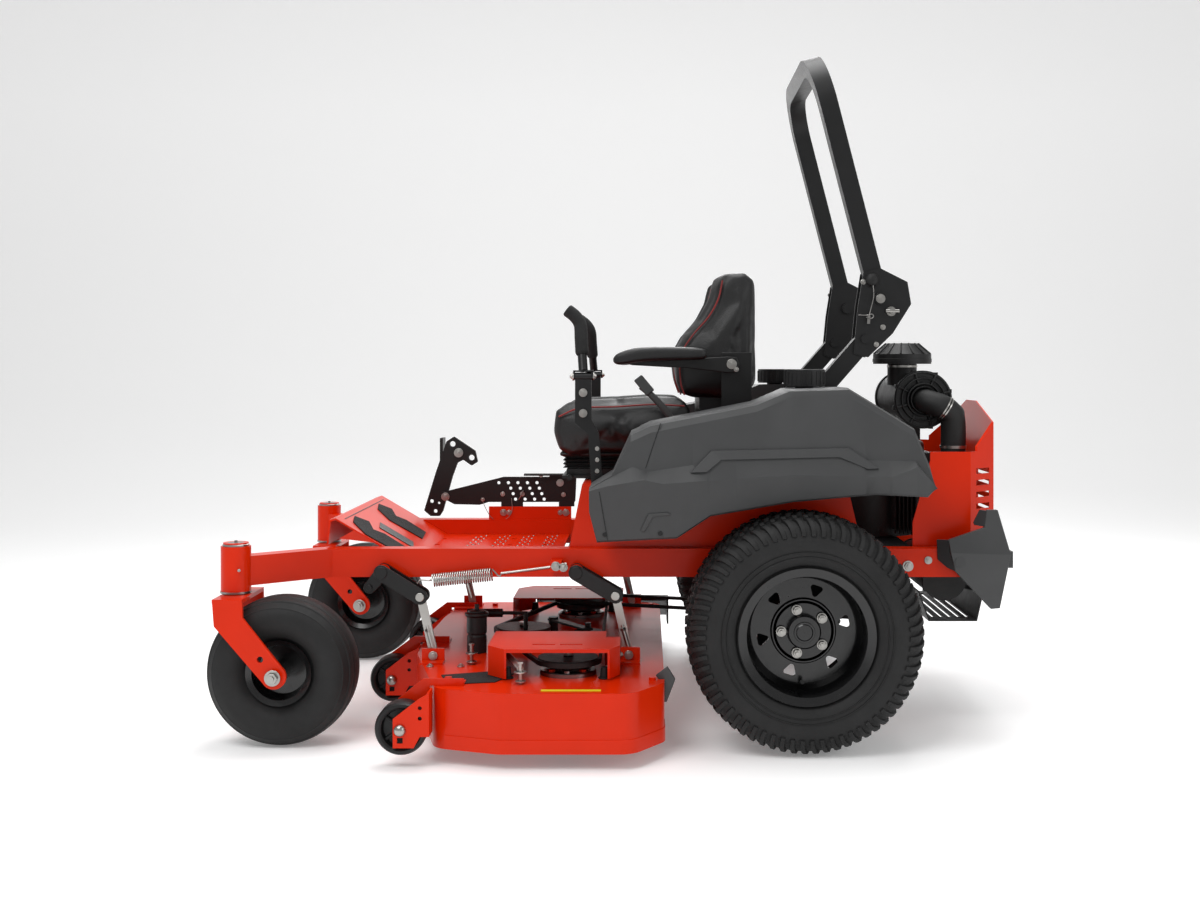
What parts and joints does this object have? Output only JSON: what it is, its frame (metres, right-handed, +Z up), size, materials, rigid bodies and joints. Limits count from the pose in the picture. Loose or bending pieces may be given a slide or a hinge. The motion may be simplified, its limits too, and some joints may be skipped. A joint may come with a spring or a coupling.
{
  "type": "zero turn mower",
  "caption": "Ride-on zero turn mower with offset side-discharge deck, caster front wheels, twin levers, suspended seat and folding roll bar.",
  "frame": {"origin": "on the ground under the middle of the machine's bounding box", "axes": "+X to the rear of the machine, -Y to the operator's left, +Z up"},
  "size_m": [2.1054, 1.62, 1.8448],
  "materials": {
    "red_paint": "gloss",
    "black_steel": "satin",
    "grey_plastic": "matte",
    "grey_steel": "satin",
    "black_plastic": "matte",
    "tyre_rubber": "matte",
    "belt_rubber": "matte",
    "vinyl": "satin",
    "grip_foam": "matte",
    "zinc_steel": "satin",
    "engine_metal": "satin"
  },
  "bodies": {
    "chassis": {"frame_rails": "red_paint", "frame_brackets": "black_steel", "floor_pan": "red_paint", "seat_pod": "red_paint", "fender_left": "grey_plastic", "fender_right": "grey_plastic", "fuel_tanks": "black_plastic", "engine_block": "engine_metal", "blower_housing": "black_steel", "air_cleaner": "black_steel", "muffler": "black_steel", "engine_guard": "red_paint", "rear_bumper": "grey_steel", "hydro_drives": "black_steel", "rops_posts": "black_steel", "drive_belt": "belt_rubber", "lift_springs": "zinc_steel"},
    "fuel_cap_left": {"fuel_cap_left": "black_steel"},
    "fork_left": {"fork_left": "red_paint"},
    "front_wheel_left": {"front_tyre_left": "tyre_rubber", "front_rim_left": "black_steel"},
    "rear_wheel_left": {"rear_tyre_left": "tyre_rubber", "rear_rim_left": "black_steel"},
    "lever_arm_left": {"lever_arm_left": "black_steel"},
    "lever_tube_left": {"lever_tube_left": "grip_foam"},
    "armrest_left": {"armrest_left": "vinyl"},
    "rops_pin_left": {"rops_pin_left": "zinc_steel"},
    "fuel_cap_right": {"fuel_cap_right": "black_steel"},
    "fork_right": {"fork_right": "red_paint"},
    "front_wheel_right": {"front_tyre_right": "tyre_rubber", "front_rim_right": "black_steel"},
    "rear_wheel_right": {"rear_tyre_right": "tyre_rubber", "rear_rim_right": "black_steel"},
    "lever_arm_right": {"lever_arm_right": "black_steel"},
    "lever_tube_right": {"lever_tube_right": "grip_foam"},
    "armrest_right": {"armrest_right": "vinyl"},
    "rops_pin_right": {"rops_pin_right": "zinc_steel"},
    "seat_base": {"seat_base": "black_steel"},
    "seat_carriage": {"seat_suspension": "black_plastic"},
    "seat": {"seat_cushion": "vinyl", "seat_back": "vinyl"},
    "rops_hoop": {"rops_hoop": "black_steel"},
    "pto_pulley": {"pto_pulley": "black_steel"},
    "deck": {"deck_shell": "red_paint", "deck_brackets": "red_paint", "belt_covers": "red_paint", "deck_belt": "belt_rubber"},
    "belt_idler": {"belt_idler": "black_steel"},
    "discharge_chute": {"discharge_chute": "black_steel"},
    "lift_pedal": {"lift_pedal": "black_steel"},
    "spindle_left": {"spindle_left": "black_steel"},
    "anti_scalp_wheel_left": {"anti_scalp_wheel_left": "tyre_rubber"},
    "spindle_centre": {"spindle_centre": "black_steel"},
    "anti_scalp_wheel_centre": {"anti_scalp_wheel_centre": "tyre_rubber"},
    "spindle_right": {"spindle_right": "black_steel"},
    "anti_scalp_wheel_right": {"anti_scalp_wheel_right": "tyre_rubber"},
    "front_lift_arms": {"front_lift_arms": "red_paint"},
    "front_hangers": {"front_hangers": "zinc_steel"},
    "rear_lift_arms": {"rear_lift_arms": "red_paint"},
    "rear_hangers": {"rear_hangers": "zinc_steel"}
  },
  "joints": [
    {"name": "fork_left_swivel", "type": "hinge", "parent": "chassis", "child": "fork_left", "pos_m": [-0.994, -0.545, 0.385], "axis": [0, 0, 1], "continuous": true},
    {"name": "front_wheel_left_roll", "type": "hinge", "parent": "fork_left", "child": "front_wheel_left", "pos_m": [-0.87, -0.545, 0.1905], "axis": [0, 1, 0], "continuous": true},
    {"name": "rear_wheel_left_roll", "type": "hinge", "parent": "chassis", "child": "rear_wheel_left", "pos_m": [0.463, -0.57, 0.3], "axis": [0, 1, 0], "continuous": true},
    {"name": "lever_left_drive", "type": "hinge", "parent": "chassis", "child": "lever_arm_left", "pos_m": [-0.0645, -0.4, 0.6], "axis": [0, -1, 0], "range_deg": [-16, 16]},
    {"name": "lever_left_swing", "type": "hinge", "parent": "lever_arm_left", "child": "lever_tube_left", "pos_m": [-0.104, -0.4, 0.944], "axis": [1, 0, 0], "range_deg": [0, 25]},
    {"name": "armrest_left_lift", "type": "hinge", "parent": "seat", "child": "armrest_left", "pos_m": [0.302, -0.264, 0.977], "axis": [0, 1, 0], "range_deg": [0, 90]},
    {"name": "rops_pin_left_pull", "type": "slide", "parent": "chassis", "child": "rops_pin_left", "axis": [0, -1, 0], "range_m": [0, 0.02]},
    {"name": "fuel_cap_left_turn", "type": "hinge", "parent": "chassis", "child": "fuel_cap_left", "pos_m": [0.485, -0.437, 0.94], "axis": [0, 0, 1], "continuous": true},
    {"name": "fork_right_swivel", "type": "hinge", "parent": "chassis", "child": "fork_right", "pos_m": [-0.994, 0.545, 0.385], "axis": [0, 0, 1], "continuous": true},
    {"name": "front_wheel_right_roll", "type": "hinge", "parent": "fork_right", "child": "front_wheel_right", "pos_m": [-0.87, 0.545, 0.1905], "axis": [0, 1, 0], "continuous": true},
    {"name": "rear_wheel_right_roll", "type": "hinge", "parent": "chassis", "child": "rear_wheel_right", "pos_m": [0.463, 0.57, 0.3], "axis": [0, 1, 0], "continuous": true},
    {"name": "lever_right_drive", "type": "hinge", "parent": "chassis", "child": "lever_arm_right", "pos_m": [-0.0645, 0.4, 0.6], "axis": [0, -1, 0], "range_deg": [-16, 16]},
    {"name": "lever_right_swing", "type": "hinge", "parent": "lever_arm_right", "child": "lever_tube_right", "pos_m": [-0.104, 0.4, 0.944], "axis": [-1, 0, 0], "range_deg": [0, 25]},
    {"name": "armrest_right_lift", "type": "hinge", "parent": "seat", "child": "armrest_right", "pos_m": [0.302, 0.264, 0.977], "axis": [0, 1, 0], "range_deg": [0, 90]},
    {"name": "rops_pin_right_pull", "type": "slide", "parent": "chassis", "child": "rops_pin_right", "axis": [0, 1, 0], "range_m": [0, 0.02]},
    {"name": "fuel_cap_right_turn", "type": "hinge", "parent": "chassis", "child": "fuel_cap_right", "pos_m": [0.485, 0.437, 0.94], "axis": [0, 0, 1], "continuous": true},
    {"name": "seat_tilt", "type": "hinge", "parent": "chassis", "child": "seat_base", "pos_m": [-0.15, 0, 0.659], "axis": [0, -1, 0], "range_deg": [0, 30]},
    {"name": "seat_fore_aft", "type": "slide", "parent": "seat_base", "child": "seat_carriage", "axis": [1, 0, 0], "range_m": [-0.06, 0.06]},
    {"name": "seat_suspension_travel", "type": "slide", "parent": "seat_carriage", "child": "seat", "axis": [0, 0, 1], "range_m": [-0.02, 0], "stiffness_N_per_m": 30000, "springref_m": 0.02, "deforming": ["seat_suspension"]},
    {"name": "rops_fold", "type": "hinge", "parent": "chassis", "child": "rops_hoop", "pos_m": [0.7, 0, 1.154], "axis": [0, 1, 0], "range_deg": [0, 100]},
    {"name": "deck_lift", "type": "slide", "parent": "chassis", "child": "deck", "axis": [0, 0, 1], "range_m": [-0.01, 0.09], "deforming": ["drive_belt", "lift_springs"]},
    {"name": "front_arm_lift", "type": "hinge", "parent": "chassis", "child": "front_lift_arms", "pos_m": [-0.638, 0, 0.423], "axis": [0, -1, 0], "range_deg": [-6, 46]},
    {"name": "rear_arm_lift", "type": "hinge", "parent": "chassis", "child": "rear_lift_arms", "pos_m": [-0.121, 0, 0.423], "axis": [0, -1, 0], "range_deg": [-6, 46]},
    {"name": "front_hanger_swing", "type": "hinge", "parent": "front_lift_arms", "child": "front_hangers", "pos_m": [-0.535, 0, 0.359], "axis": [0, -1, 0], "range_deg": [-52, 7]},
    {"name": "rear_hanger_swing", "type": "hinge", "parent": "rear_lift_arms", "child": "rear_hangers", "pos_m": [-0.017, 0, 0.362], "axis": [0, -1, 0], "range_deg": [-52, 7]},
    {"name": "lift_pedal_push", "type": "hinge", "parent": "chassis", "child": "lift_pedal", "pos_m": [-0.612, 0.368, 0.506], "axis": [0, -1, 0], "range_deg": [-5, 37]},
    {"name": "pto_turn", "type": "hinge", "parent": "chassis", "child": "pto_pulley", "pos_m": [0.72, 0, 0.24], "axis": [0, 0, 1], "continuous": true},
    {"name": "spindle_left_turn", "type": "hinge", "parent": "deck", "child": "spindle_left", "pos_m": [-0.135, -0.575, 0.2], "axis": [0, 0, 1], "continuous": true},
    {"name": "spindle_centre_turn", "type": "hinge", "parent": "deck", "child": "spindle_centre", "pos_m": [-0.285, -0.145, 0.2], "axis": [0, 0, 1], "continuous": true},
    {"name": "spindle_right_turn", "type": "hinge", "parent": "deck", "child": "spindle_right", "pos_m": [-0.14, 0.285, 0.2], "axis": [0, 0, 1], "continuous": true},
    {"name": "anti_scalp_left_roll", "type": "hinge", "parent": "deck", "child": "anti_scalp_wheel_left", "pos_m": [-0.528, -0.76, 0.095], "axis": [0, 1, 0], "continuous": true},
    {"name": "anti_scalp_centre_roll", "type": "hinge", "parent": "deck", "child": "anti_scalp_wheel_centre", "pos_m": [-0.645, -0.205, 0.095], "axis": [0, 1, 0], "continuous": true},
    {"name": "anti_scalp_right_roll", "type": "hinge", "parent": "deck", "child": "anti_scalp_wheel_right", "pos_m": [-0.632, 0.38, 0.095], "axis": [0, 1, 0], "continuous": true},
    {"name": "idler_swing", "type": "hinge", "parent": "deck", "child": "belt_idler", "pos_m": [-0.205, -0.075, 0.22], "axis": [0, 0, 1], "range_deg": [-12, 0]},
    {"name": "chute_lift", "type": "hinge", "parent": "deck", "child": "discharge_chute", "pos_m": [-0.08, 0.54, 0.196], "axis": [1, 0, 0], "range_deg": [0, 65]}
  ],
  "couplings": [
    {"joint": "front_arm_lift", "follows": "deck_lift", "rad_per_m": 8.6},
    {"joint": "rear_arm_lift", "follows": "deck_lift", "rad_per_m": 8.6},
    {"joint": "front_hanger_swing", "follows": "deck_lift", "rad_per_m": -9.7},
    {"joint": "rear_hanger_swing", "follows": "deck_lift", "rad_per_m": -9.7},
    {"joint": "lift_pedal_push", "follows": "deck_lift", "rad_per_m": 6.9},
    {"joint": "spindle_left_turn", "follows": "pto_turn", "ratio": 1},
    {"joint": "spindle_centre_turn", "follows": "pto_turn", "ratio": 1},
    {"joint": "spindle_right_turn", "follows": "pto_turn", "ratio": 1}
  ]
}
